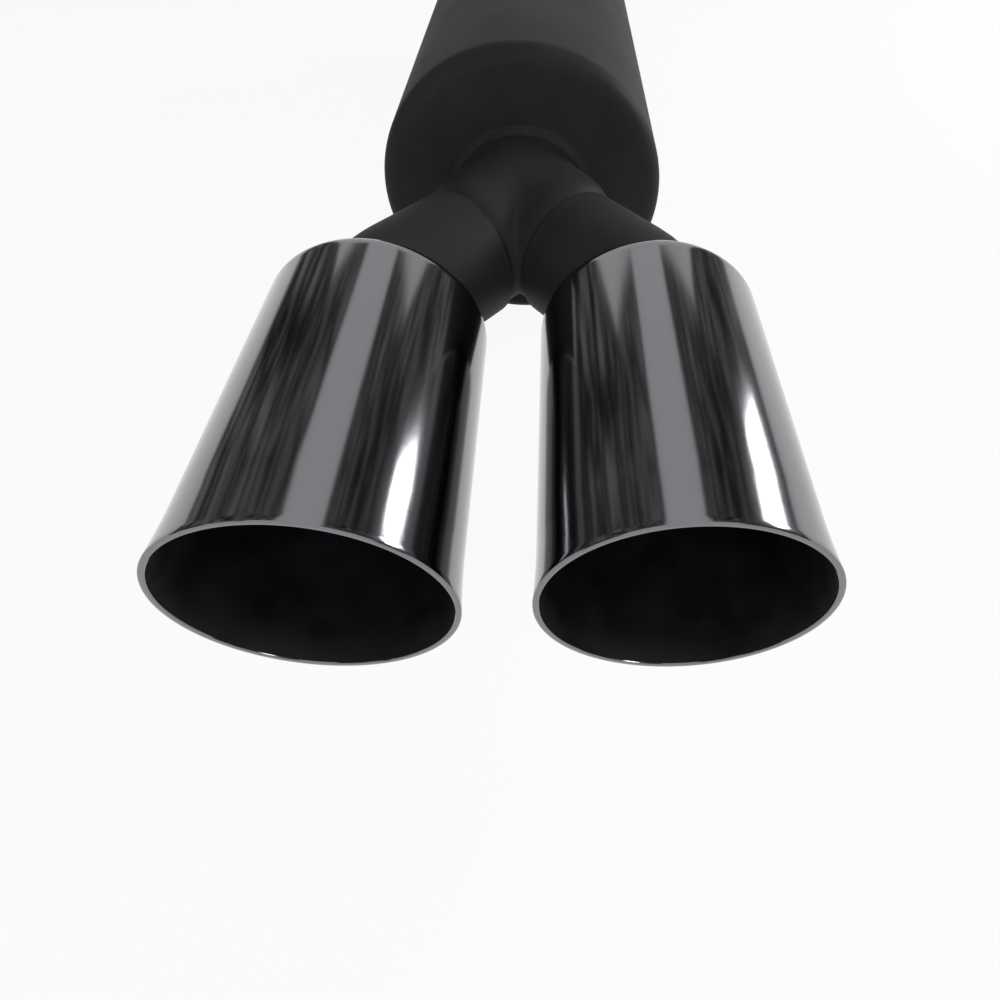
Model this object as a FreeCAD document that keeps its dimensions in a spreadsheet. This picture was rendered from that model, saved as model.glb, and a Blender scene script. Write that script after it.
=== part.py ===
"""Twin exhaust tip on the rear silencer that carries it, a welded steel assembly.

Frame: the origin is the centre of the inlet mouth, +Y points out of the inlet, +Z is up.
Gas flows towards -Y, and "run" below is the distance from the inlet mouth along -Y.
"""

import FreeCAD
import Part
import Sketcher
import os

V = FreeCAD.Vector

doc = FreeCAD.newDocument("TwinExhaustTip")

# Driving sizes, in millimetres and degrees
SIZES = [
    ("can_diameter", 124.0),
    ("can_length", 320.0),
    ("sheet_wall", 1.5),
    ("cap_edge_radius", 7.0),
    ("cap_skirt", 16.0),
    ("collar_length", 8.0),
    ("bore_diameter", 51.2),
    ("inlet_length", 50.0),
    ("inlet_insertion", 40.0),
    ("pipe_wall", 1.5),
    ("slip_gap", 0.1),
    ("core_wall", 1.2),
    ("core_overlap", 18.0),
    ("core_standoff", 2.4),
    ("hole_diameter", 12.0),
    ("hole_pitch", 32.0),
    ("packing_gap", 0.3),
    ("neck_insertion", 25.0),
    ("neck_straight", 5.0),
    ("leg_diameter", 48.0),
    ("leg_angle", 40.0),
    ("leg_spigot", 14.0),
    ("weld_seat", 3.0),
    ("stub_clearance", 2.0),
    ("stub_start", 43.0),
    ("stub_bend_radius", 30.0),
    ("stub_straight", 3.2),
    ("stub_insertion", 12.0),
    ("stub_wall", 2.0),
    ("stub_lip", 1.5),
    ("tip_spacing", 95.5),
    ("tip_diameter", 76.0),
    ("tip_length", 110.0),
    ("tip_wall", 1.8),
    ("tip_shoulder_radius", 5.0),
    ("mouth_flare", 0.8),
    ("flare_length", 9.0),
    ("weld_leg", 3.0),
    ("stub_weld_leg", 1.2),
    ("seam_depth", 1.2),
    ("seam_width", 4.0),
]
HOLE_RINGS = 6
HOLES_PER_RING = 6
LEG_SECTIONS = 4
TOUCHING = 1e-3
SIDES = (("left", -1), ("right", 1))

sheet = doc.addObject("Spreadsheet::Sheet", "Sizes")
for row, (name, value) in enumerate(SIZES, start=1):
    sheet.set(f"A{row}", name)
    sheet.set(f"B{row}", str(value))
    sheet.setAlias(f"B{row}", name)
doc.recompute()

# Expressions that several pieces share, so that what fits together is worked out once
CAN_R = "(Sizes.can_diameter / 2)"
CAN_IN_R = f"({CAN_R} - Sizes.sheet_wall)"
BORE_R = "(Sizes.bore_diameter / 2)"
INLET_R = f"({BORE_R} + Sizes.pipe_wall)"
CORE_IN_R = f"({INLET_R} + Sizes.slip_gap)"
CORE_R = f"({CORE_IN_R} + Sizes.core_wall)"
NECK_IN_R = f"({CORE_R} + Sizes.slip_gap)"
NECK_R = f"({NECK_IN_R} + Sizes.pipe_wall)"
LEG_R = "(Sizes.leg_diameter / 2)"
STUB_IN_R = f"({LEG_R} + Sizes.slip_gap)"
STUB_R = f"({STUB_IN_R} + Sizes.stub_wall)"
TIP_R = "(Sizes.tip_diameter / 2)"

FRONT_FACE = "Sizes.inlet_length"
REAR_FACE = "(Sizes.inlet_length + Sizes.can_length)"
NECK_END = f"({REAR_FACE} + Sizes.neck_straight)"
STUB_SIDE = f"({STUB_R} * cos(Sizes.leg_angle) + Sizes.stub_clearance / 2)"
STUB_RUN = f"({REAR_FACE} + Sizes.stub_start)"
LEG_SIDE = f"({STUB_SIDE} - Sizes.weld_seat * sin(Sizes.leg_angle))"
LEG_RUN = f"({STUB_RUN} - Sizes.weld_seat * cos(Sizes.leg_angle))"
BEND_TANGENT = "(Sizes.stub_bend_radius * tan(Sizes.leg_angle / 2))"
BEND_CORNER = f"((Sizes.tip_spacing / 2 - {STUB_SIDE}) / sin(Sizes.leg_angle))"
TIP_RUN = f"({STUB_RUN} + {BEND_CORNER} * cos(Sizes.leg_angle) + {BEND_TANGENT} + Sizes.stub_straight)"
SEAM_HALF = "(Sizes.seam_width / 2)"
SEAM_FLOOR = f"({CAN_R} - Sizes.seam_depth)"


def number(expression):
    """The present value of an expression over the sheet, as a plain float."""
    return float(sheet.evalExpression(expression))


def placement(side="0", run="0", up="0", yaw="0", roll="0"):
    """An expression for a placement: along X, the run and Z, turned about Z and then about X."""
    return (
        f"create(<<placement>>; create(<<vector>>; {side}; -({run}); {up}); "
        f"create(<<rotation>>; {yaw}; 0; {roll}))"
    )


def place(obj, **where):
    obj.setExpression("Placement", placement(**where))


def origin_plane(body, role):
    return next(f for f in body.Origin.OriginFeatures if f.Role == role)


def new_sketch(body, name, role="XY_Plane"):
    sketch = body.newObject("Sketcher::SketchObject", name)
    sketch.AttachmentSupport = (origin_plane(body, role), [""])
    sketch.MapMode = "FlatFace"
    return sketch


def bind(sketch, kind, geometry, expression):
    """Adds one dimension to a sketch and ties it to an expression."""
    index = sketch.addConstraint(Sketcher.Constraint(kind, *geometry, number(expression)))
    sketch.setExpression(f"Constraints[{index}]", expression)


def draw_profile(sketch, corners, arcs=None):
    """A closed outline through corners, each a pair of expressions.

    arcs gives, by the index of the corner that an edge starts from, its radius and the side that its
    centre lies on: 1 left of the way the edge runs, -1 right.
    """
    arcs = arcs or {}
    points = [V(number(x), number(y), 0) for x, y in corners]
    ends = []
    for i, start in enumerate(points):
        end = points[(i + 1) % len(points)]
        if i in arcs:
            radius, side = number(arcs[i][0]), arcs[i][1]
            chord = end - start
            left = V(-chord.y, chord.x, 0).normalize()
            reach = max(radius**2 - (chord.Length / 2) ** 2, 0) ** 0.5
            centre = start + chord * 0.5 + left * (side * reach)
            middle = centre - left * (side * radius)
            edge = sketch.addGeometry(Part.Arc(start, middle, end))
            first = 1 if sketch.getPoint(edge, 1).distanceToPoint(start) < TOUCHING else 2
            ends.append((edge, first, 3 - first))
        else:
            edge = sketch.addGeometry(Part.LineSegment(start, end))
            ends.append((edge, 1, 2))
    for i, (edge, first, last) in enumerate(ends):
        following, joined, _ = ends[(i + 1) % len(ends)]
        sketch.addConstraint(Sketcher.Constraint("Coincident", edge, last, following, joined))
        bind(sketch, "DistanceX", (-1, 1, edge, first), corners[i][0])
        bind(sketch, "DistanceY", (-1, 1, edge, first), corners[i][1])
        if i in arcs:
            bind(sketch, "Radius", (edge,), arcs[i][0])


def turned(label, corners, arcs=None, **where):
    """A piece turned about the run: x is its radius and y the distance along the run from its own datum."""
    body = doc.addObject("PartDesign::Body", label)
    sketch = new_sketch(body, f"{label}_profile")
    draw_profile(sketch, corners, arcs)
    revolution = body.newObject("PartDesign::Revolution", f"{label}_turn")
    revolution.Profile = sketch
    revolution.ReferenceAxis = (sketch, ["V_Axis"])
    revolution.Angle = 360
    sketch.Visibility = False
    place(body, **{"yaw": "180", **where})
    return body


def tube(label, inner, outer, start, end, **where):
    return turned(label, [(inner, start), (outer, start), (outer, end), (inner, end)], **where)


def fillet_bead(label, radius, leg, **where):
    """A weld bead in the corner between a pipe and the face that it stands on."""
    corners = [(radius, "0"), (f"{radius} + {leg}", "0"), (radius, leg)]
    return turned(label, corners, **where)


# Silencer can: a rolled shell between two spun caps
def end_cap(label, hole, **where):
    """A spun cap: a flat face with a collar turned in round its hole, a round edge and a short skirt."""
    wall, edge = "Sizes.sheet_wall", "Sizes.cap_edge_radius"
    corners = [
        (hole, "0"),
        (f"{CAN_R} - {edge}", "0"),
        (CAN_R, edge),
        (CAN_R, f"Sizes.cap_skirt - {SEAM_HALF}"),
        (SEAM_FLOOR, "Sizes.cap_skirt"),
        (CAN_IN_R, "Sizes.cap_skirt"),
        (CAN_IN_R, edge),
        (f"{CAN_R} - {edge}", wall),
        (f"{hole} + {wall}", wall),
        (f"{hole} + {wall}", "Sizes.collar_length"),
        (hole, "Sizes.collar_length"),
    ]
    return turned(label, corners, {1: (edge, 1)}, **where)


def can_shell(label, start, end):
    """A rolled tube whose outer edges are cut back for the seam welds."""
    corners = [
        (CAN_IN_R, start),
        (SEAM_FLOOR, start),
        (CAN_R, f"{start} + {SEAM_HALF}"),
        (CAN_R, f"{end} - {SEAM_HALF}"),
        (SEAM_FLOOR, end),
        (CAN_IN_R, end),
    ]
    return turned(label, corners)


def seam_bead(label, run):
    """A weld that fills the groove between a cap and the shell, ground flush with the can."""
    half = f"({SEAM_HALF} * (1 - Sizes.slip_gap / Sizes.seam_depth))"
    corners = [
        (f"{SEAM_FLOOR} + Sizes.slip_gap", run),
        (CAN_R, f"{run} - {half}"),
        (CAN_R, f"{run} + {half}"),
    ]
    return turned(label, corners)


FRONT_SEAM = f"({FRONT_FACE} + Sizes.cap_skirt)"
REAR_SEAM = f"({REAR_FACE} - Sizes.cap_skirt)"

parts = []
parts.append(can_shell("can_shell", FRONT_SEAM, REAR_SEAM))
parts.append(end_cap("front_end_cap", f"({INLET_R} + Sizes.slip_gap)", run=FRONT_FACE))
parts.append(end_cap("rear_end_cap", f"({NECK_R} + Sizes.slip_gap)", run=REAR_FACE, yaw="0"))
parts.append(seam_bead("front_cap_weld", FRONT_SEAM))
parts.append(seam_bead("rear_cap_weld", REAR_SEAM))

# Gas path through the can: inlet pipe, perforated core and the wool packed round it
parts.append(tube("inlet_pipe", BORE_R, INLET_R, "0", f"{FRONT_FACE} + Sizes.inlet_insertion"))
parts.append(fillet_bead("inlet_weld", INLET_R, "Sizes.weld_leg", run=FRONT_FACE, yaw="0"))

CORE_START = f"({FRONT_FACE} + Sizes.collar_length + Sizes.core_standoff)"
CORE_END = f"({REAR_FACE} - Sizes.neck_insertion + Sizes.core_overlap)"


def perforated_core():
    """A tube drilled with rings of holes: one row of holes is cut, and the row repeats round the tube."""
    body = tube("perforated_core", CORE_IN_R, CORE_R, CORE_START, CORE_END)
    doc.recompute()
    solid_volume = body.Shape.Volume
    sketch = new_sketch(body, "core_holes")
    middle = f"(({FRONT_FACE} + {REAR_FACE}) / 2)"
    for ring in range(HOLE_RINGS):
        run = f"{middle} + {ring - (HOLE_RINGS - 1) / 2} * Sizes.hole_pitch"
        hole = Part.Circle(V(0, number(run), 0), V(0, 0, 1), number("Sizes.hole_diameter / 2"))
        circle = sketch.addGeometry(hole)
        sketch.addConstraint(Sketcher.Constraint("PointOnObject", circle, 3, -2))
        bind(sketch, "DistanceY", (-1, 1, circle, 3), run)
        bind(sketch, "Radius", (circle,), "Sizes.hole_diameter / 2")
    drilled = body.newObject("PartDesign::Pocket", "core_drilling")
    drilled.Profile = sketch
    drilled.Type = "ThroughAll"
    rows = body.newObject("PartDesign::PolarPattern", "core_rows")
    rows.Originals = [drilled]
    rows.Axis = (sketch, ["V_Axis"])
    rows.Angle = 360
    rows.Occurrences = HOLES_PER_RING
    body.Tip = rows
    doc.recompute()
    assert body.Shape.Volume < solid_volume, "the core's holes cut nothing"
    return body


parts.append(perforated_core())
parts.append(
    tube(
        "wool_packing",
        f"{CORE_R} + Sizes.packing_gap",
        f"{CAN_IN_R} - Sizes.packing_gap",
        FRONT_SEAM,
        f"{REAR_FACE} - Sizes.neck_insertion - Sizes.packing_gap",
    )
)


# Splitter: one neck that parts into two legs
def leg_section(name, share, thinner):
    """One round section of the right leg, at a share of the way from the neck to the leg's end."""
    circle = doc.addObject("Part::Circle", name)
    ease = share * share * (3 - 2 * share)
    circle.setExpression("Radius", f"{NECK_R} + ({LEG_R} - {NECK_R}) * {ease} - {thinner}")
    place(
        circle,
        side=f"{LEG_SIDE} * {ease}",
        run=f"{NECK_END} + ({LEG_RUN} - {NECK_END}) * {share}",
        yaw=f"Sizes.leg_angle * {share}",
        roll="90",
    )
    return circle


def leg_form(name, thinner):
    """The right leg, kept right of X = 0: a loft through its sections, with a straight spigot at its end."""
    loft = doc.addObject("Part::Loft", f"{name}_loft")
    shares = [i / (LEG_SECTIONS - 1) for i in range(LEG_SECTIONS)]
    loft.Sections = [leg_section(f"{name}_section_{i}", share, thinner) for i, share in enumerate(shares)]
    loft.Solid = True
    loft.Ruled = False
    half = doc.addObject("Part::Box", f"{name}_half")
    half.setExpression("Length", "Sizes.can_diameter")
    half.setExpression("Width", f"2 * {STUB_RUN}")
    half.setExpression("Height", "Sizes.can_diameter")
    place(half, run=f"2 * {STUB_RUN}", up=f"-{CAN_R}")
    kept = doc.addObject("Part::Common", f"{name}_kept")
    kept.Base = loft
    kept.Tool = half
    spigot = doc.addObject("Part::Cylinder", f"{name}_spigot")
    spigot.setExpression("Radius", f"{LEG_R} - {thinner}")
    spigot.setExpression("Height", "Sizes.weld_seat + Sizes.leg_spigot")
    place(spigot, side=LEG_SIDE, run=LEG_RUN, yaw="Sizes.leg_angle", roll="90")
    both = doc.addObject("Part::MultiFuse", f"{name}_solid")
    both.Shapes = [kept, spigot]
    return both


def neck_form(name, thinner):
    neck = doc.addObject("Part::Cylinder", name)
    neck.setExpression("Radius", f"{NECK_R} - {thinner}")
    neck.setExpression("Height", "Sizes.neck_insertion + Sizes.neck_straight")
    place(neck, run=f"{REAR_FACE} - Sizes.neck_insertion", roll="90")
    return neck


def splitter():
    def whole(name, thinner):
        right = leg_form(name, thinner)
        left = doc.addObject("Part::Mirroring", f"{name}_left")
        left.Source = right
        left.Normal = V(1, 0, 0)
        left.Base = V(0, 0, 0)
        joined = doc.addObject("Part::MultiFuse", f"{name}_whole")
        joined.Shapes = [right, left, neck_form(f"{name}_neck", thinner)]
        joined.Refine = True
        return joined

    walls = doc.addObject("Part::Cut", "splitter")
    walls.Base = whole("splitter_outside", "0")
    walls.Tool = whole("splitter_inside", "Sizes.pipe_wall")
    return walls


parts.append(splitter())
parts.append(fillet_bead("outlet_weld", NECK_R, "Sizes.weld_leg", run=REAR_FACE))


# Stubs: bent pipes from the legs to the tips
def stub_pipe(label, side):
    """A pipe along a straight run, a bend back to the run of the can and a straight end inside the tip."""
    body = doc.addObject("PartDesign::Body", label)
    spine = new_sketch(body, f"{label}_spine")
    first = f"({BEND_CORNER} - {BEND_TANGENT})"
    last = "(Sizes.stub_straight + Sizes.stub_insertion)"
    angle = -side * number("Sizes.leg_angle")
    radius = -side * number("Sizes.stub_bend_radius")
    turn = FreeCAD.Rotation(V(0, 0, 1), angle)
    half_turn = FreeCAD.Rotation(V(0, 0, 1), angle / 2)
    start, knee = V(0, 0, 0), V(0, number(first), 0)
    centre = knee - V(radius, 0, 0)
    middle = centre + half_turn.multVec(V(radius, 0, 0))
    bent = centre + turn.multVec(V(radius, 0, 0))
    end = bent + turn.multVec(V(0, number(last), 0))
    lead = spine.addGeometry(Part.LineSegment(start, knee))
    bend = spine.addGeometry(Part.Arc(knee, middle, bent))
    tail = spine.addGeometry(Part.LineSegment(bent, end))
    near = 1 if spine.getPoint(bend, 1).distanceToPoint(knee) < TOUCHING else 2
    spine.addConstraint(Sketcher.Constraint("Coincident", lead, 1, -1, 1))
    spine.addConstraint(Sketcher.Constraint("Vertical", lead))
    spine.addConstraint(Sketcher.Constraint("Tangent", lead, 2, bend, near))
    spine.addConstraint(Sketcher.Constraint("Tangent", bend, 3 - near, tail, 1))
    bind(spine, "Distance", (lead,), first)
    bind(spine, "Radius", (bend,), "Sizes.stub_bend_radius")
    bind(spine, "Angle", (lead, 1, tail, 1), f"{-side} * Sizes.leg_angle * 1 deg")
    bind(spine, "Distance", (tail,), last)
    profile = new_sketch(body, f"{label}_section", "XZ_Plane")
    for ring in (STUB_R, STUB_IN_R):
        circle = profile.addGeometry(Part.Circle(V(0, 0, 0), V(0, 0, 1), number(ring)))
        profile.addConstraint(Sketcher.Constraint("Coincident", circle, 3, -1, 1))
        bind(profile, "Radius", (circle,), ring)
    doc.recompute()
    pipe = body.newObject("PartDesign::AdditivePipe", f"{label}_pipe")
    pipe.Profile = profile
    pipe.Spine = (spine, ["Edge1", "Edge2", "Edge3"])
    doc.recompute()
    rim = next(
        f"Edge{i}"
        for i, edge in enumerate(pipe.Shape.Edges, start=1)
        if abs(edge.BoundBox.YMax) < TOUCHING and abs(edge.BoundBox.XMax - number(STUB_R)) < TOUCHING
    )
    lip = body.newObject("PartDesign::Fillet", f"{label}_lip")
    lip.Base = (pipe, [rim])
    lip.setExpression("Radius", "Sizes.stub_lip")
    body.Tip = lip
    place(body, side=f"{side} * {STUB_SIDE}", run=STUB_RUN, yaw=f"180 + {side} * Sizes.leg_angle")
    return body


# Tips: spun tubes with a round rear shoulder, a collar on the stub and a slight flare at the mouth
def tip(label, side):
    wall, edge = "Sizes.tip_wall", "Sizes.tip_shoulder_radius"
    hole = f"({STUB_R} + Sizes.slip_gap)"
    mouth = f"({TIP_R} + Sizes.mouth_flare)"
    flare_start = "(Sizes.tip_length - Sizes.flare_length)"
    corners = [
        (hole, "0"),
        (f"{TIP_R} - {edge}", "0"),
        (TIP_R, edge),
        (TIP_R, flare_start),
        (mouth, "Sizes.tip_length"),
        (f"{mouth} - {wall}", "Sizes.tip_length"),
        (f"{TIP_R} - {wall}", flare_start),
        (f"{TIP_R} - {wall}", edge),
        (f"{TIP_R} - {edge}", wall),
        (f"{hole} + {wall}", wall),
        (f"{hole} + {wall}", "Sizes.collar_length"),
        (hole, "Sizes.collar_length"),
    ]
    arcs = {1: (edge, 1), 7: (f"{edge} - {wall}", -1)}
    return turned(label, corners, arcs, side=f"{side} * Sizes.tip_spacing / 2", run=TIP_RUN)


for name, side in SIDES:
    parts.append(stub_pipe(f"{name}_stub_pipe", side))
    parts.append(
        fillet_bead(
            f"{name}_stub_weld",
            LEG_R,
            "Sizes.stub_weld_leg",
            side=f"{side} * {STUB_SIDE}",
            run=STUB_RUN,
            yaw=f"{side} * Sizes.leg_angle",
        )
    )
    parts.append(tip(f"{name}_tip", side))
    parts.append(
        fillet_bead(
            f"{name}_tip_weld",
            STUB_R,
            "Sizes.weld_leg",
            side=f"{side} * Sizes.tip_spacing / 2",
            run=TIP_RUN,
            yaw="0",
        )
    )

doc.recompute()
for obj in doc.Objects:
    if "Invalid" in obj.State or "Error" in obj.State:
        raise RuntimeError(f"{obj.Name} failed: {obj.State}")
os.makedirs("parts", exist_ok=True)
for part in parts:
    if part.Shape.isNull() or not part.Shape.isValid():
        raise RuntimeError(f"{part.Label} has no valid shape")
    part.Shape.exportStep(f"parts/{part.Label}.step")
    print(f"{part.Label}: {len(part.Shape.Solids)} solid, {part.Shape.Volume / 1000:.2f} cm3")
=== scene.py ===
"""Dresses the silencer with its twin dark chrome tips and sets up a plain studio round it."""

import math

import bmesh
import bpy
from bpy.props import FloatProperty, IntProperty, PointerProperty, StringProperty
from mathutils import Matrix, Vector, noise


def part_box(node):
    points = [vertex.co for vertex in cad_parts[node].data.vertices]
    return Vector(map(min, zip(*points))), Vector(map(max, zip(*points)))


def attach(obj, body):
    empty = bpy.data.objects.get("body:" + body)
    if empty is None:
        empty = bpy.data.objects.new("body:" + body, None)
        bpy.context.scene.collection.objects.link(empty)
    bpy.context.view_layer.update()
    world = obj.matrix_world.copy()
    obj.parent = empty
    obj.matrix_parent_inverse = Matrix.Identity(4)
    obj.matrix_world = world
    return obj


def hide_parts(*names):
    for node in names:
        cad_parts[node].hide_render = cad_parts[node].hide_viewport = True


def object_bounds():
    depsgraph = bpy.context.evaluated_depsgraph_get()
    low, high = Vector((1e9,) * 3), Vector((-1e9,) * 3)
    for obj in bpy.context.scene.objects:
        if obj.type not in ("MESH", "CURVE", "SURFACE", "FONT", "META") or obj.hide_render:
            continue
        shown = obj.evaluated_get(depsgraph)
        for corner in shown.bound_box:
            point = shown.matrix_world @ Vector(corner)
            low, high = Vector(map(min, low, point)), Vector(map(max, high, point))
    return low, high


bl_info = {
    "name": "Twin Exhaust Tip",
    "version": (1, 0, 0),
    "blender": (4, 5, 0),
    "location": "View3D > Sidebar > Exhaust",
    "description": "A silencer can whose outlet parts into two dark chrome tips",
    "category": "Add Mesh",
}

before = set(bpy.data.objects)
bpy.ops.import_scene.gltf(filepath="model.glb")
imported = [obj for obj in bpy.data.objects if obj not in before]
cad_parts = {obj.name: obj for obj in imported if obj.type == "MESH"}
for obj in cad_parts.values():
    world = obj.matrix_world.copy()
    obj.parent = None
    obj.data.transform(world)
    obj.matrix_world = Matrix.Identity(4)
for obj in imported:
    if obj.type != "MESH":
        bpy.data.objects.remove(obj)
CAD_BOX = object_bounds()
BODY = "root"
# Which way along X each side lies
SIDES = {"left": -1, "right": 1}
MM = 0.001
WHITE = (1, 1, 1, 1)

# Edges that turn by more than this stay crisp
SHARP = math.radians(25)
# Points of a spun profile, and of a CAD mesh, that are closer than this are one point
TOUCHING = 1e-6
CAD_TOUCHING = 1e-5
# Most of a noise texture lies between these values
NOISE_LOW, NOISE_HIGH = 0.3, 0.7

# Straight length kept beside a rounded edge, so that its shading stays even
HOLD = 1.5 * MM
# Faces across each rounded edge of a tip and of a cap
SHOULDER_FACES, FLARE_FACES, LIP_FACES, TIP_INNER_FACES = 10, 8, 3, 6
CAP_EDGE_FACES, CAP_INNER_FACES = 12, 8
# The flare's bend as a share of its length, and the lip's rounding as a share of the wall
FLARE_SHARE, LIP_SHARE = 0.8, 0.25
# The dark inside starts at this share of the rear wall's thickness
DARK_INSIDE_SHARE = 0.9

# The splitter's neck stays as it is for this far behind the can
NECK_KEPT = 8 * MM
# Rounds of smoothing in the fork and all over, and the share of the way that each moves a point
FORK_ROUNDS, ALL_ROUNDS, SMOOTHING = 120, 4, 0.5

# Faces of a lumpy bead round the pipe and across its hollow side
BEAD_STEPS, HOLLOW_STEPS = 220, 6
# A bead's height is an even share plus coarse and fine lumps, so many to the metre
EVEN_SHARE = 0.6
COARSE_LUMPS, COARSE_SHARE = 120, 0.9
FINE_LUMPS, FINE_SHARE = 330, 0.5
# How far full height stands out, as a multiple of the depth inside the bead
LUMP_RISE = 1.4

# The floor's extent in metres, its distance below the can, and how white it looks
FLOOR_EXTENT, FLOOR_GAP, FLOOR_GLOW = 6, 0.2 * MM, 0.93
# Strength of the surroundings as light
SOFT_LIGHT = 0.1
# From the tips' mouths to the middle that the lamps are placed from, in metres
TIPS_MIDDLE = 0.06
KEY_PLACE, KEY_SIZE = Vector((0.1, -0.6, 0.7)), 0.35
SHINE_PLACE, SHINE_SIZE = Vector((0.75, -0.15, 0.9)), 0.22
FILL_PLACE, FILL_SIZE = Vector((-0.8, -0.5, 0.6)), 0.6
RIM_PLACE, RIM_SIZE = Vector((0.84, 0.55, 0.33)), 0.22
# The dark cards: their outer and inner distance from the middle, their top, their height above the
# can's underside and their reach past the part's ends, in metres
CARD_SIDE, CARD_GAP, CARD_TOP, CARD_LOW, CARD_REACH = 0.9, 0.3, 1.1, 0.1, 1.2
# The camera: its place from the middle of the mouths in metres, its yaw, pitch below the horizon and
# roll in degrees, and its shift
CAMERA_PLACE = Vector((0.0138, -0.0752, 0.1517))
CAMERA_YAW, CAMERA_PITCH, CAMERA_ROLL = -0.47, 49.76, 0.61
CAMERA_SHIFT_X, CAMERA_SHIFT_Y = -0.0553, -0.0531
SENSOR_WIDTH = 36.0
CLIP_START = 5 * MM


def millimetres(name, description, size):
    """A setting that is a length, given in millimetres."""
    return FloatProperty(name=name, description=description, default=size * MM, unit="LENGTH")


class TipSettings(bpy.types.PropertyGroup):
    """Sizes and colour of the two tips."""

    wall: millimetres("Wall", "Thickness of a tip's wall", 1.8)
    shoulder: millimetres("Shoulder", "Radius of the round rear edge", 5)
    flare: millimetres("Flare", "How far the mouth opens", 0.8)
    flare_length: millimetres("Flare length", "Length of the part that opens", 9)
    slip: millimetres("Slip", "Gap between the collar and the stub pipe", 0.1)
    collar: millimetres("Collar length", "Length of the collar inside the tip", 8)
    colour: StringProperty(
        name="Colour", description="sRGB hex of the dark chrome", default="#727274"
    )
    steps: IntProperty(name="Steps", description="Faces round a tip", default=160)


class CanSettings(bpy.types.PropertyGroup):
    """Sizes and colour of the silencer can."""

    wall: millimetres("Wall", "Thickness of the sheet", 1.5)
    edge: millimetres("Edge radius", "Radius of the caps' round edge", 7)
    collar: millimetres("Collar length", "Length of the collar turned into the can", 8)
    slip: millimetres("Slip", "Gap between a collar and its pipe", 0.1)
    groove: millimetres("Seam depth", "Depth of the groove under a seam weld", 1.2)
    seam: millimetres("Seam width", "Width of the groove under a seam weld", 4)
    colour: StringProperty(name="Colour", description="sRGB hex of the paint", default="#2e2c2d")
    steps: IntProperty(name="Steps", description="Faces round the can", default=160)


class PipeSettings(bpy.types.PropertyGroup):
    """How the pressed splitter is softened."""

    leg_angle: FloatProperty(
        name="Leg angle",
        description="Angle of a leg to the can",
        default=math.radians(40),
        unit="ROTATION",
    )
    fork: millimetres("Fork", "Half width of the softened fork", 18)
    swell: millimetres("Swell", "How far a leg bulges before its stub pipe", 1.6)
    valley: millimetres("Valley", "Width of the valley between bulge and stub", 1.5)
    swell_length: millimetres("Swell length", "Length of the bulge along the leg", 26)
    voxel: millimetres("Voxel", "Face size of the splitter's even mesh", 0.8)


class StageSettings(bpy.types.PropertyGroup):
    """The floor's colour, the lamps' power and the camera's lens."""

    floor: StringProperty(name="Floor", description="sRGB hex of the floor", default="#f4f4f4")
    key: FloatProperty(name="Key lamp", description="Power of the key lamp in watts", default=4.5)
    shine: FloatProperty(
        name="Shine lamp", description="Power of the lamp seen in the chrome in watts", default=2.2
    )
    fill: FloatProperty(
        name="Fill lamp", description="Power of the fill lamp in watts", default=0.5
    )
    rim: FloatProperty(
        name="Rim lamp", description="Power of the low lamp at the right in watts", default=5.0
    )
    lens: FloatProperty(
        name="Lens", description="Focal length of the camera in millimetres", default=23.4
    )


def linear(code):
    """A hex sRGB colour as linear red, green, blue and alpha."""
    channels = [int(code.lstrip("#")[i : i + 2], 16) / 255 for i in (0, 2, 4)]
    return [c / 12.92 if c <= 0.04045 else ((c + 0.055) / 1.055) ** 2.4 for c in channels] + [1.0]


def add_node(tree, kind, inputs=None, **settings):
    """Adds a node, sets its settings, and sets or links its inputs."""
    node = tree.nodes.new(kind)
    for key, value in settings.items():
        setattr(node, key, value)
    for key, value in (inputs or {}).items():
        if isinstance(value, bpy.types.NodeSocket):
            tree.links.new(value, node.inputs[key])
        else:
            node.inputs[key].default_value = value
    return node


def new_material(name):
    """An empty node material and its output node."""
    material = bpy.data.materials.new(name)
    material.use_nodes = True
    material.node_tree.nodes.clear()
    return material, material.node_tree, add_node(material.node_tree, "ShaderNodeOutputMaterial")


def principled(tree, output, inputs):
    """Gives a material a Principled surface."""
    shader = add_node(tree, "ShaderNodeBsdfPrincipled", inputs)
    tree.links.new(shader.outputs[0], output.inputs["Surface"])


def patches(tree, per_metre, detail):
    """A noise over the piece, with so many patches to the metre."""
    place = add_node(tree, "ShaderNodeTexCoord").outputs["Object"]
    inputs = {"Vector": place, "Scale": per_metre, "Detail": detail}
    return add_node(tree, "ShaderNodeTexNoise", inputs).outputs["Fac"]


def streaks(tree, across, along, detail):
    """A noise drawn out along Y, with so many streaks to the metre across Y and along it."""
    place = add_node(tree, "ShaderNodeTexCoord").outputs["Object"]
    stretch = {"Vector": place, "Scale": (across, along, across)}
    drawn = add_node(tree, "ShaderNodeMapping", stretch).outputs[0]
    inputs = {"Vector": drawn, "Scale": 1.0, "Detail": detail}
    return add_node(tree, "ShaderNodeTexNoise", inputs).outputs["Fac"]


def between(tree, factor, low, high):
    """A number that goes from low to high over the middle of a noise."""
    inputs = {
        "Value": factor,
        "From Min": NOISE_LOW,
        "From Max": NOISE_HIGH,
        "To Min": low,
        "To Max": high,
    }
    return add_node(tree, "ShaderNodeMapRange", inputs).outputs["Result"]


def two_tone(tree, factor, dark, light, start=NOISE_LOW, end=NOISE_HIGH):
    """A colour that goes from dark to light as a factor goes from start to end."""
    ramp = add_node(tree, "ShaderNodeValToRGB", {"Fac": factor})
    first, last = ramp.color_ramp.elements
    first.position, first.color = start, dark
    last.position, last.color = end, light
    return ramp.outputs["Color"]


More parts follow.
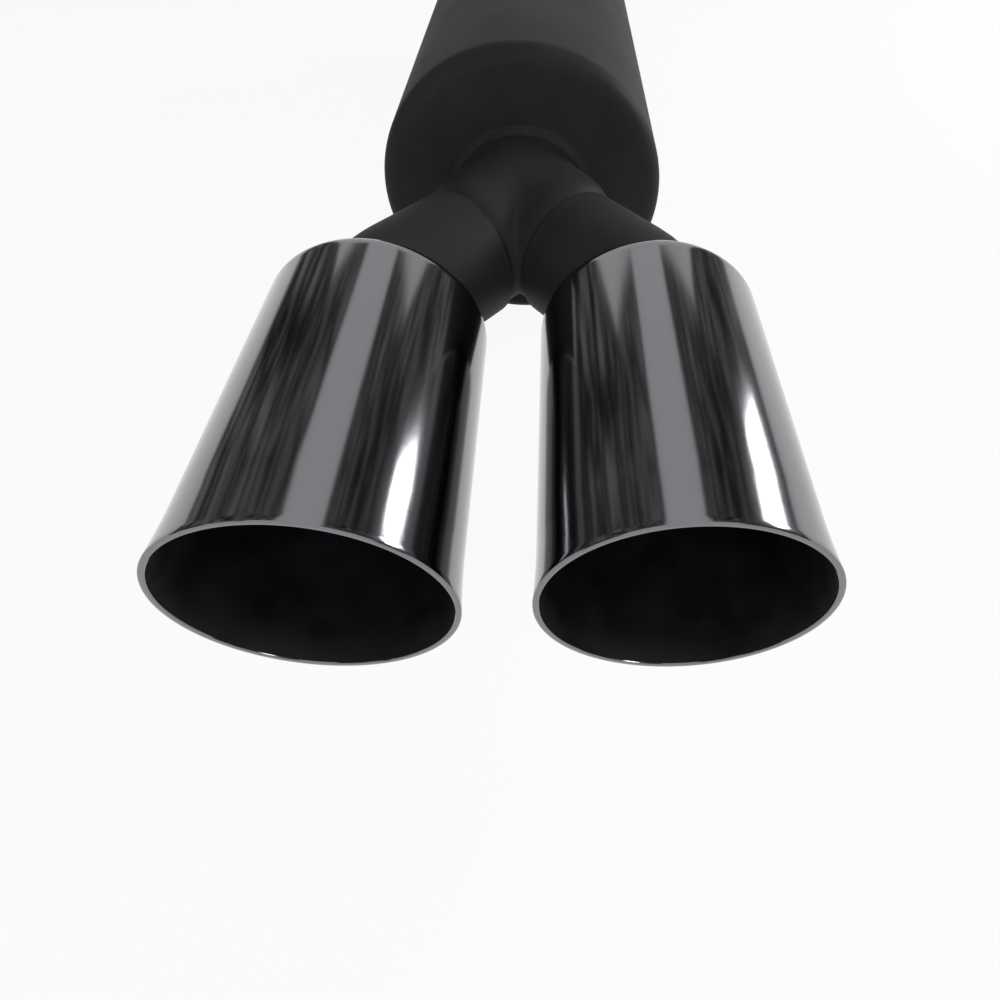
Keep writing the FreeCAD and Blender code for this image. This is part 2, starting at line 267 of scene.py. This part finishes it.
def bumped(tree, height, strength, distance, under=None):
    """The normal of a surface with that relief, on top of another normal where one is given."""
    inputs = {"Height": height, "Strength": strength, "Distance": distance}
    if under is not None:
        inputs["Normal"] = under
    return add_node(tree, "ShaderNodeBump", inputs).outputs["Normal"]


def satin_black_paint(colour):
    """Heat-proof satin paint on steel: a soft sheen, faint orange peel and slightly uneven black."""
    material, tree, output = new_material("satin_black_paint")
    # Uneven coats, some 30 mm across
    coats = patches(tree, per_metre=33.0, detail=4.0)
    # Orange peel, 1.2 mm across, drawn coarser than real so that it shows
    peel = patches(tree, per_metre=830.0, detail=2.0)
    # The coats vary by a fifth either way
    dark, light = ([c * share for c in linear(colour)[:3]] + [1] for share in (0.8, 1.2))
    principled(
        tree,
        output,
        {
            "Base Color": two_tone(tree, coats, dark, light),
            "Roughness": between(tree, coats, 0.56, 0.66),
            "Normal": bumped(tree, peel, strength=0.12, distance=0.2 * MM),
            "Specular IOR Level": 0.12,
        },
    )
    return material


def dark_chrome(colour):
    """Dark chrome plate on a drawn and polished tube: a mirror with faint waves along the tube."""
    material, tree, output = new_material("dark_chrome")
    # Draw marks: waves 7 mm apart round the tube and 125 mm long
    waves = streaks(tree, across=140.0, along=8.0, detail=3.0)
    # Finer marks, 2 mm apart and 30 mm long
    marks = streaks(tree, across=480.0, along=33.0, detail=2.0)
    # Polish haze, 10 mm across
    haze = patches(tree, per_metre=100.0, detail=5.0)
    broad = bumped(tree, waves, strength=0.5, distance=0.6 * MM)
    principled(
        tree,
        output,
        {
            "Base Color": linear(colour),
            "Metallic": 1.0,
            "Roughness": between(tree, haze, 0.05, 0.1),
            "Normal": bumped(tree, marks, strength=0.6, distance=0.3 * MM, under=broad),
        },
    )
    return material


def dark_dull_steel():
    """The inside of a tip: unpolished plate, blue-black and dull."""
    material, tree, output = new_material("dark_dull_steel")
    # Darker and lighter patches, some 12 mm across
    inside_patches = patches(tree, per_metre=80.0, detail=6.0)
    principled(
        tree,
        output,
        {
            "Base Color": two_tone(tree, inside_patches, linear("#0b0c0e"), linear("#191b1f")),
            "Metallic": 0.4,
            "Roughness": between(tree, inside_patches, 0.5, 0.7),
        },
    )
    return material


def bare_steel():
    """Bare rolled steel strip, perforated: grey metal with a rolled grain along it."""
    material, tree, output = new_material("bare_perforated_steel")
    # Grain, 1 mm apart and 25 mm long
    grain = streaks(tree, across=900.0, along=40.0, detail=2.0)
    principled(
        tree,
        output,
        {
            "Base Color": linear("#b8b6b2"),
            "Metallic": 1.0,
            "Roughness": between(tree, grain, 0.3, 0.45),
        },
    )
    return material


def glass_wool():
    """Matted glass wool: pale yellow, rough and clumped."""
    material, tree, output = new_material("matted_glass_wool")
    # Clumps, some 5 mm across
    clumps = patches(tree, per_metre=200.0, detail=8.0)
    yellow = two_tone(tree, clumps, linear("#c2b184"), linear("#efe6c4"), start=0.0, end=1.0)
    principled(
        tree,
        output,
        {
            "Base Color": yellow,
            "Roughness": 0.95,
            "Normal": bumped(tree, clumps, strength=0.8, distance=2 * MM),
        },
    )
    return material


def painted_shade_weld():
    """Weld metal in the valley before a stub pipe: dull, with a near-black colour that is painted
    shade for the shadow in the valley.
    """
    material, tree, output = new_material("painted_shade_weld")
    # Patches of roughness, some 3 mm across
    scale = patches(tree, per_metre=330.0, detail=3.0)
    principled(
        tree,
        output,
        {
            # Near-black base colour: painted shade of the valley at the weld
            "Base Color": linear("#0e0d0d"),
            "Roughness": between(tree, scale, 0.75, 0.95),
            "Specular IOR Level": 0.2,
        },
    )
    return material


def shared(name, make, *values):
    """The material of that name, made the first time that it is asked for."""
    return bpy.data.materials.get(name) or make(*values)


def paint():
    """The paint of the can, the pipes and most welds."""
    return shared("satin_black_paint", satin_black_paint, bpy.context.scene.exhaust_can.colour)


def chrome():
    """The plate on the tips."""
    return shared("dark_chrome", dark_chrome, bpy.context.scene.exhaust_tips.colour)


def add_object(name, bm):
    """Puts a bmesh in the scene as a new object, and frees it."""
    mesh = bpy.data.meshes.new(name)
    bm.to_mesh(mesh)
    bm.free()
    obj = bpy.data.objects.new(name, mesh)
    bpy.context.scene.collection.objects.link(obj)
    return obj


def finished(name, bm, material, node):
    """Makes a piece of a bmesh: smooth faces and one material, riding on the part for a node."""
    for face in bm.faces:
        face.smooth = True
    for edge in bm.edges:
        edge.smooth = edge.calc_face_angle(0) < SHARP
    piece = add_object(name, bm)
    piece.data.materials.append(material)
    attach(piece, BODY)
    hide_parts(node)
    return piece


def dress(node, material):
    """Gives a CAD node its material."""
    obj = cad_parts[node]
    obj.data.materials.clear()
    obj.data.materials.append(material)


def middle(node):
    """The middle of a node's box."""
    lo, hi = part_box(node)
    return (lo + hi) / 2


def upright_radius(node):
    """The outer radius of a pipe, which is half of its height."""
    lo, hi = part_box(node)
    return (hi.z - lo.z) / 2


def spin_profile(profile, centre, start, way, steps, rounds=()):
    """Spins a closed profile about a line along Y. A profile point is its radius and its distance
    from start, and rounds gives points whose edge is bevelled, with the size and the faces."""
    bm = bmesh.new()
    ring = [bm.verts.new((centre.x + r, start + way * s, centre.z)) for r, s in profile]
    edges = [bm.edges.new((a, b)) for a, b in zip(ring, ring[1:] + ring[:1])]
    bmesh.ops.spin(
        bm,
        geom=ring + edges,
        cent=(centre.x, 0, centre.z),
        axis=(0, 1, 0),
        angle=math.tau,
        steps=steps,
        use_merge=True,
    )
    bmesh.ops.remove_doubles(bm, verts=bm.verts, dist=TOUCHING)
    bmesh.ops.recalc_face_normals(bm, faces=bm.faces)
    for (r, s), size, faces in rounds:
        y = start + way * s
        on_edge = {
            v
            for v in bm.verts
            if abs(v.co.y - y) < TOUCHING
            and abs(math.hypot(v.co.x - centre.x, v.co.z - centre.z) - r) < TOUCHING
        }
        loop = [e for e in bm.edges if e.verts[0] in on_edge and e.verts[1] in on_edge]
        bmesh.ops.bevel(
            bm, geom=loop, offset=size, segments=faces, profile=0.5, affect="EDGES", material=-1
        )
    return bm


def make_tip(side, at):
    """One tip: chrome outside and on its rim, dark and dull inside."""
    node = f"{side}_tip"
    lo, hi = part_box(node)
    length = hi.y - lo.y
    mouth = (hi.z - lo.z) / 2
    outer = mouth - at.flare
    inner = outer - at.wall
    opens = length - at.flare_length
    hole = upright_radius(f"{side}_stub_pipe") + at.slip
    profile = [
        (hole, 0),
        (outer - at.shoulder - HOLD, 0),
        (outer, 0),
        (outer, at.shoulder + HOLD),
        (outer, opens),
        (mouth, length),
        (mouth - at.wall, length),
        (inner, opens),
        (inner, at.shoulder + HOLD),
        (inner, at.wall),
        (hole + at.wall, at.wall),
        (hole + at.wall, at.collar),
        (hole, at.collar),
    ]
    rounds = [
        ((outer, 0), at.shoulder, SHOULDER_FACES),
        ((outer, opens), at.flare_length * FLARE_SHARE, FLARE_FACES),
        ((mouth, length), at.wall * LIP_SHARE, LIP_FACES),
        ((mouth - at.wall, length), at.wall * LIP_SHARE, LIP_FACES),
        ((inner, at.wall), at.shoulder - at.wall, TIP_INNER_FACES),
    ]
    axis = middle(node)
    bm = spin_profile(profile, axis, hi.y, -1, at.steps, rounds)
    for face in bm.faces:
        place = face.calc_center_median()
        out = Vector((place.x - axis.x, 0, place.z - axis.z))
        behind_rim = place.y > lo.y + at.wall
        inside_rear = place.y < hi.y - at.wall * DARK_INSIDE_SHARE
        if behind_rim and inside_rear and face.normal.dot(out) <= TOUCHING:
            face.material_index = 1
    piece = finished(f"{side}_chrome_tip", bm, chrome(), node)
    piece.data.materials.append(shared("dark_dull_steel", dark_dull_steel))


class EXHAUST_OT_tips(bpy.types.Operator):
    """Makes the two dark chrome tips"""

    bl_idname = "exhaust.tips"
    bl_label = "Tips"

    def execute(self, context):
        for side in SIDES:
            make_tip(side, context.scene.exhaust_tips)
        return {"FINISHED"}


class EXHAUST_OT_can(bpy.types.Operator):
    """Makes the silencer can: its shell, two spun caps and the seam welds"""

    bl_idname = "exhaust.can"
    bl_label = "Silencer can"

    def execute(self, context):
        can = context.scene.exhaust_can
        lo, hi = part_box("can_shell")
        radius = (hi.x - lo.x) / 2
        axis = middle("can_shell")
        inner = radius - can.wall
        length = hi.y - lo.y
        floor, half = radius - can.groove, can.seam / 2
        profile = [
            (inner, 0),
            (floor, 0),
            (radius, half),
            (radius, length - half),
            (floor, length),
            (inner, length),
        ]
        shell = spin_profile(profile, axis, lo.y, 1, can.steps)
        finished("rolled_shell", shell, paint(), "can_shell")
        for name, pipe, way in (("front", "inlet_pipe", -1), ("rear", "splitter", 1)):
            node = f"{name}_end_cap"
            hole = upright_radius(pipe) + can.slip
            lo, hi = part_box(node)
            skirt = hi.y - lo.y
            face = lo.y if way > 0 else hi.y
            profile = [
                (hole, 0),
                (radius - can.edge - HOLD, 0),
                (radius, 0),
                (radius, can.edge + HOLD),
                (radius, skirt - half),
                (floor, skirt),
                (inner, skirt),
                (inner, can.wall),
                (hole + can.wall, can.wall),
                (hole + can.wall, can.collar),
                (hole, can.collar),
            ]
            rounds = [
                ((radius, 0), can.edge, CAP_EDGE_FACES),
                ((inner, can.wall), can.edge - can.wall, CAP_INNER_FACES),
            ]
            bm = spin_profile(profile, axis, face, way, can.steps, rounds)
            finished(f"{name}_spun_cap", bm, paint(), node)
            weld = f"{name}_cap_weld"
            bead = [(floor, 0), (radius, half), (radius, -half)]
            bm = spin_profile(bead, axis, middle(weld).y, 1, can.steps)
            finished(f"{name}_seam_bead", bm, paint(), weld)
        return {"FINISHED"}


def even_mesh(node, voxel):
    """A node's shape as a bmesh of even faces."""
    bm = bmesh.new()
    bm.from_mesh(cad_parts[node].data)
    bmesh.ops.remove_doubles(bm, verts=bm.verts, dist=CAD_TOUCHING)
    blank = add_object("press_blank", bm)
    remesh = blank.modifiers.new("even_faces", "REMESH")
    remesh.mode = "VOXEL"
    remesh.voxel_size = voxel
    depsgraph = bpy.context.evaluated_depsgraph_get()
    even = bpy.data.meshes.new_from_object(blank.evaluated_get(depsgraph))
    bm = bmesh.new()
    bm.from_mesh(even)
    plain = blank.data
    bpy.data.objects.remove(blank)
    bpy.data.meshes.remove(plain)
    bpy.data.meshes.remove(even)
    return bm


def soften(bm, verts, rounds):
    """Moves points towards their neighbours, so many times."""
    for _ in range(rounds):
        bmesh.ops.smooth_vert(
            bm, verts=verts, factor=SMOOTHING, use_axis_x=True, use_axis_y=True, use_axis_z=True
        )


def swell_leg(bm, rim, sign, at):
    """Bulges the outside of a leg before its stub pipe, which leaves a valley at the weld."""
    way = Vector((sign * math.sin(at.leg_angle), -math.cos(at.leg_angle), 0))
    for v in bm.verts:
        before = (rim - v.co).dot(way)
        share = (before - at.valley) / at.swell_length
        out = v.co - rim + way * before
        if sign * v.co.x >= 0 and 0 < share < 1 and v.normal.dot(out) > 0:
            v.co += v.normal * at.swell * math.sin(math.pi * math.sqrt(share)) ** 2


def pressed(node):
    """A node's shape as pressed sheet: its creases are softened, most of all in the fork."""
    at = bpy.context.scene.exhaust_pipes
    bm = even_mesh(node, at.voxel)
    neck_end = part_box("rear_end_cap")[0].y - NECK_KEPT
    fork = [v for v in bm.verts if abs(v.co.x) < at.fork and v.co.y < neck_end]
    soften(bm, fork, FORK_ROUNDS)
    soften(bm, bm.verts, ALL_ROUNDS)
    bm.normal_update()
    for side, sign in SIDES.items():
        swell_leg(bm, middle(f"{side}_stub_weld"), sign, at)
    return bm


class EXHAUST_OT_pipes(bpy.types.Operator):
    """Finishes the inlet pipe, the splitter and the two stub pipes"""

    bl_idname = "exhaust.pipes"
    bl_label = "Pipes"

    def execute(self, context):
        for node in ("inlet_pipe", "left_stub_pipe", "right_stub_pipe"):
            dress(node, paint())
        finished("pressed_splitter", pressed("splitter"), paint(), "splitter")
        return {"FINISHED"}


class EXHAUST_OT_inside(bpy.types.Operator):
    """Finishes the core and the wool inside the can"""

    bl_idname = "exhaust.inside"
    bl_label = "Inside"

    def execute(self, context):
        dress("perforated_core", shared("bare_perforated_steel", bare_steel))
        dress("wool_packing", shared("matted_glass_wool", glass_wool))
        return {"FINISHED"}


def lumpy_bead(node, way):
    """A hand-laid weld bead in the corner of a pipe and a cap: hollow and lumpy. It stands out
    from the cap along way."""
    lo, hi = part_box(node)
    face = lo.y if way > 0 else hi.y
    leg = hi.y - lo.y
    outer = (hi.x - lo.x) / 2
    pipe = outer - leg
    hollow = [math.radians(90) * i / HOLLOW_STEPS for i in range(HOLLOW_STEPS + 1)]
    profile = [(pipe, 0)] + [(outer - leg * math.sin(a), leg * (1 - math.cos(a))) for a in hollow]
    centre = middle(node)
    bm = spin_profile(profile, centre, face, way, BEAD_STEPS)
    for v in bm.verts:
        out = Vector((v.co.x - centre.x, 0, v.co.z - centre.z))
        rise = abs(v.co.y - face)
        inside = min(rise, out.length - pipe)
        coarse = noise.noise(v.co * COARSE_LUMPS) * COARSE_SHARE
        fine = noise.noise(v.co * FINE_LUMPS) * FINE_SHARE
        push = LUMP_RISE * inside * (EVEN_SHARE + coarse + fine)
        v.co += out.normalized() * push
        v.co.y += way * push
    return bm


class EXHAUST_OT_welds(bpy.types.Operator):
    """Finishes the weld beads of the pipes and the tips"""

    bl_idname = "exhaust.welds"
    bl_label = "Welds"

    def execute(self, context):
        for node, way in (("inlet_weld", 1), ("outlet_weld", -1)):
            finished(f"{node}_bead", lumpy_bead(node, way), paint(), node)
        for side in SIDES:
            # The stub welds get the near-black weld material, which is painted shade for the valley
            # before each stub
            dress(f"{side}_stub_weld", shared("painted_shade_weld", painted_shade_weld))
            dress(f"{side}_tip_weld", paint())
        return {"FINISHED"}


def sees_white(tree):
    """1 for rays that should see the white surroundings: camera, glossy and transmission rays."""
    rays = add_node(tree, "ShaderNodeLightPath").outputs
    seen = rays["Is Camera Ray"]
    for kind in ("Is Glossy Ray", "Is Transmission Ray"):
        both = add_node(tree, "ShaderNodeMath", {0: seen, 1: rays[kind]}, operation="MAXIMUM")
        seen = both.outputs[0]
    return seen


def make_floor(colour):
    """A matte floor under the can, which looks white to the camera and in the chrome."""
    lo, hi = CAD_BOX
    mid = (lo + hi) / 2
    bm = bmesh.new()
    bmesh.ops.create_grid(bm, x_segments=1, y_segments=1, size=FLOOR_EXTENT)
    bmesh.ops.translate(bm, verts=bm.verts, vec=(mid.x, mid.y, lo.z - FLOOR_GAP))
    floor = add_object("floor", bm)
    material, tree, output = new_material("pale_floor")
    matte = add_node(tree, "ShaderNodeBsdfDiffuse", {"Color": linear(colour)})
    glow = add_node(tree, "ShaderNodeEmission", {"Color": WHITE, "Strength": 1.0})
    dimmed = {0: sees_white(tree), 1: FLOOR_GLOW}
    share = add_node(tree, "ShaderNodeMath", dimmed, operation="MULTIPLY")
    mix = {0: share.outputs[0], 1: matte.outputs[0], 2: glow.outputs[0]}
    both = add_node(tree, "ShaderNodeMixShader", mix)
    tree.links.new(both.outputs[0], output.inputs["Surface"])
    floor.data.materials.append(material)


def make_world(scene):
    """Surroundings that look white and light the part softly."""
    world = bpy.data.worlds.new("studio")
    scene.world = world
    world.use_nodes = True
    tree = world.node_tree
    tree.nodes.clear()
    soft = add_node(tree, "ShaderNodeBackground", {"Color": WHITE, "Strength": SOFT_LIGHT})
    bright = add_node(tree, "ShaderNodeBackground", {"Color": WHITE, "Strength": 1.0})
    mix = {0: sees_white(tree), 1: soft.outputs[0], 2: bright.outputs[0]}
    both = add_node(tree, "ShaderNodeMixShader", mix)
    output = add_node(tree, "ShaderNodeOutputWorld")
    tree.links.new(both.outputs[0], output.inputs["Surface"])


def area_lamp(name, place, aim, size, power):
    """A square lamp at a place, turned to what it lights."""
    lamp = bpy.data.lights.new(name, "AREA")
    lamp.energy = power
    lamp.size = size
    obj = bpy.data.objects.new(name, lamp)
    obj.location = place
    obj.rotation_euler = (aim - place).to_track_quat("-Z", "Y").to_euler()
    bpy.context.scene.collection.objects.link(obj)
    return obj


def make_lamps(at):
    """A key lamp that the chrome doesn't show, a lamp that only gives shine, a fill and a rim."""
    lo, hi = CAD_BOX
    mid = (lo + hi) / 2
    tips = Vector((0, lo.y + TIPS_MIDDLE, 0))
    key = area_lamp("key_lamp", tips + KEY_PLACE, mid, KEY_SIZE, at.key)
    key.visible_glossy = False
    shine = area_lamp("shine_lamp", tips + SHINE_PLACE, mid, SHINE_SIZE, at.shine)
    shine.visible_diffuse = False
    area_lamp("fill_lamp", tips + FILL_PLACE, tips, FILL_SIZE, at.fill)
    area_lamp("rim_lamp", tips + RIM_PLACE, tips, RIM_SIZE, at.rim)


def flag(name, corners, material):
    """A dark card that only reflections see."""
    bm = bmesh.new()
    bm.faces.new([bm.verts.new(c) for c in corners])
    card = add_object(name, bm)
    card.data.materials.append(material)
    card.visible_camera = False
    card.visible_diffuse = False
    card.visible_shadow = False
    card.visible_transmission = False


def streaked_dark_card():
    """The cards' glow: dark with paler streaks along the part, which break up the reflections."""
    material, tree, output = new_material("streaked_dark_card")
    # Streaks 40 mm apart and 220 mm long
    pattern = streaks(tree, across=24.0, along=4.5, detail=5.0)
    colour = two_tone(tree, pattern, linear("#121212"), linear("#b4b4b4"), start=0.46, end=0.66)
    shade = add_node(tree, "ShaderNodeEmission", {"Color": colour, "Strength": 1.0})
    tree.links.new(shade.outputs[0], output.inputs["Surface"])
    return material


def make_cards():
    """Dark cards at the sides and above, with a gap over the middle, for the chrome to mirror."""
    lo, hi = CAD_BOX
    card = streaked_dark_card()
    near, far, low = lo.y - CARD_REACH, hi.y + CARD_REACH, lo.z + CARD_LOW
    top = CARD_TOP
    for name, sign in SIDES.items():
        side, gap = sign * CARD_SIDE, sign * CARD_GAP
        upright = [(side, near, low), (side, far, low), (side, far, top), (side, near, top)]
        flag(f"{name}_side_card", upright, card)
        flat = [(side, near, top), (side, far, top), (gap, far, top), (gap, near, top)]
        flag(f"{name}_top_card", flat, card)


def make_camera(scene, lens):
    """The photograph's camera, above the tips' mouths and looking down at the can."""
    camera = bpy.data.cameras.new("camera")
    camera.lens = lens
    camera.sensor_width = SENSOR_WIDTH
    camera.shift_x = CAMERA_SHIFT_X
    camera.shift_y = CAMERA_SHIFT_Y
    camera.clip_start = CLIP_START
    obj = bpy.data.objects.new("camera", camera)
    turn = (
        Matrix.Rotation(math.radians(CAMERA_YAW), 4, "Z")
        @ Matrix.Rotation(math.radians(90 - CAMERA_PITCH), 4, "X")
        @ Matrix.Rotation(math.radians(CAMERA_ROLL), 4, "Z")
    )
    mouths = Vector((0, CAD_BOX[0].y, 0))
    obj.matrix_world = Matrix.Translation(mouths + CAMERA_PLACE) @ turn
    scene.collection.objects.link(obj)
    scene.camera = obj


class EXHAUST_OT_stage(bpy.types.Operator):
    """Makes the floor, the lamps, the dark cards and the camera"""

    bl_idname = "exhaust.stage"
    bl_label = "Stage"

    def execute(self, context):
        scene = context.scene
        at = scene.exhaust_stage
        make_floor(at.floor)
        make_world(scene)
        make_lamps(at)
        make_cards()
        make_camera(scene, at.lens)
        scene.view_settings.view_transform = "Standard"
        return {"FINISHED"}


class EXHAUST_PT_panel(bpy.types.Panel):
    """Lists the pieces of the exhaust"""

    bl_idname = "EXHAUST_PT_panel"
    bl_label = "Twin Exhaust Tip"
    bl_space_type = "VIEW_3D"
    bl_region_type = "UI"
    bl_category = "Exhaust"

    def draw(self, context):
        for operator in OPERATORS:
            self.layout.operator(operator.bl_idname)


OPERATORS = (
    EXHAUST_OT_tips,
    EXHAUST_OT_can,
    EXHAUST_OT_pipes,
    EXHAUST_OT_inside,
    EXHAUST_OT_welds,
    EXHAUST_OT_stage,
)
CLASSES = (TipSettings, CanSettings, PipeSettings, StageSettings) + OPERATORS + (EXHAUST_PT_panel,)


def register():
    for cls in CLASSES:
        bpy.utils.register_class(cls)
    bpy.types.Scene.exhaust_tips = PointerProperty(type=TipSettings)
    bpy.types.Scene.exhaust_can = PointerProperty(type=CanSettings)
    bpy.types.Scene.exhaust_pipes = PointerProperty(type=PipeSettings)
    bpy.types.Scene.exhaust_stage = PointerProperty(type=StageSettings)


def unregister():
    del bpy.types.Scene.exhaust_tips
    del bpy.types.Scene.exhaust_can
    del bpy.types.Scene.exhaust_pipes
    del bpy.types.Scene.exhaust_stage
    for cls in reversed(CLASSES):
        bpy.utils.unregister_class(cls)


def main():
    register()
    bpy.ops.exhaust.tips()
    bpy.ops.exhaust.can()
    bpy.ops.exhaust.pipes()
    bpy.ops.exhaust.inside()
    bpy.ops.exhaust.welds()
    bpy.ops.exhaust.stage()


if __name__ == "__main__":
    main()
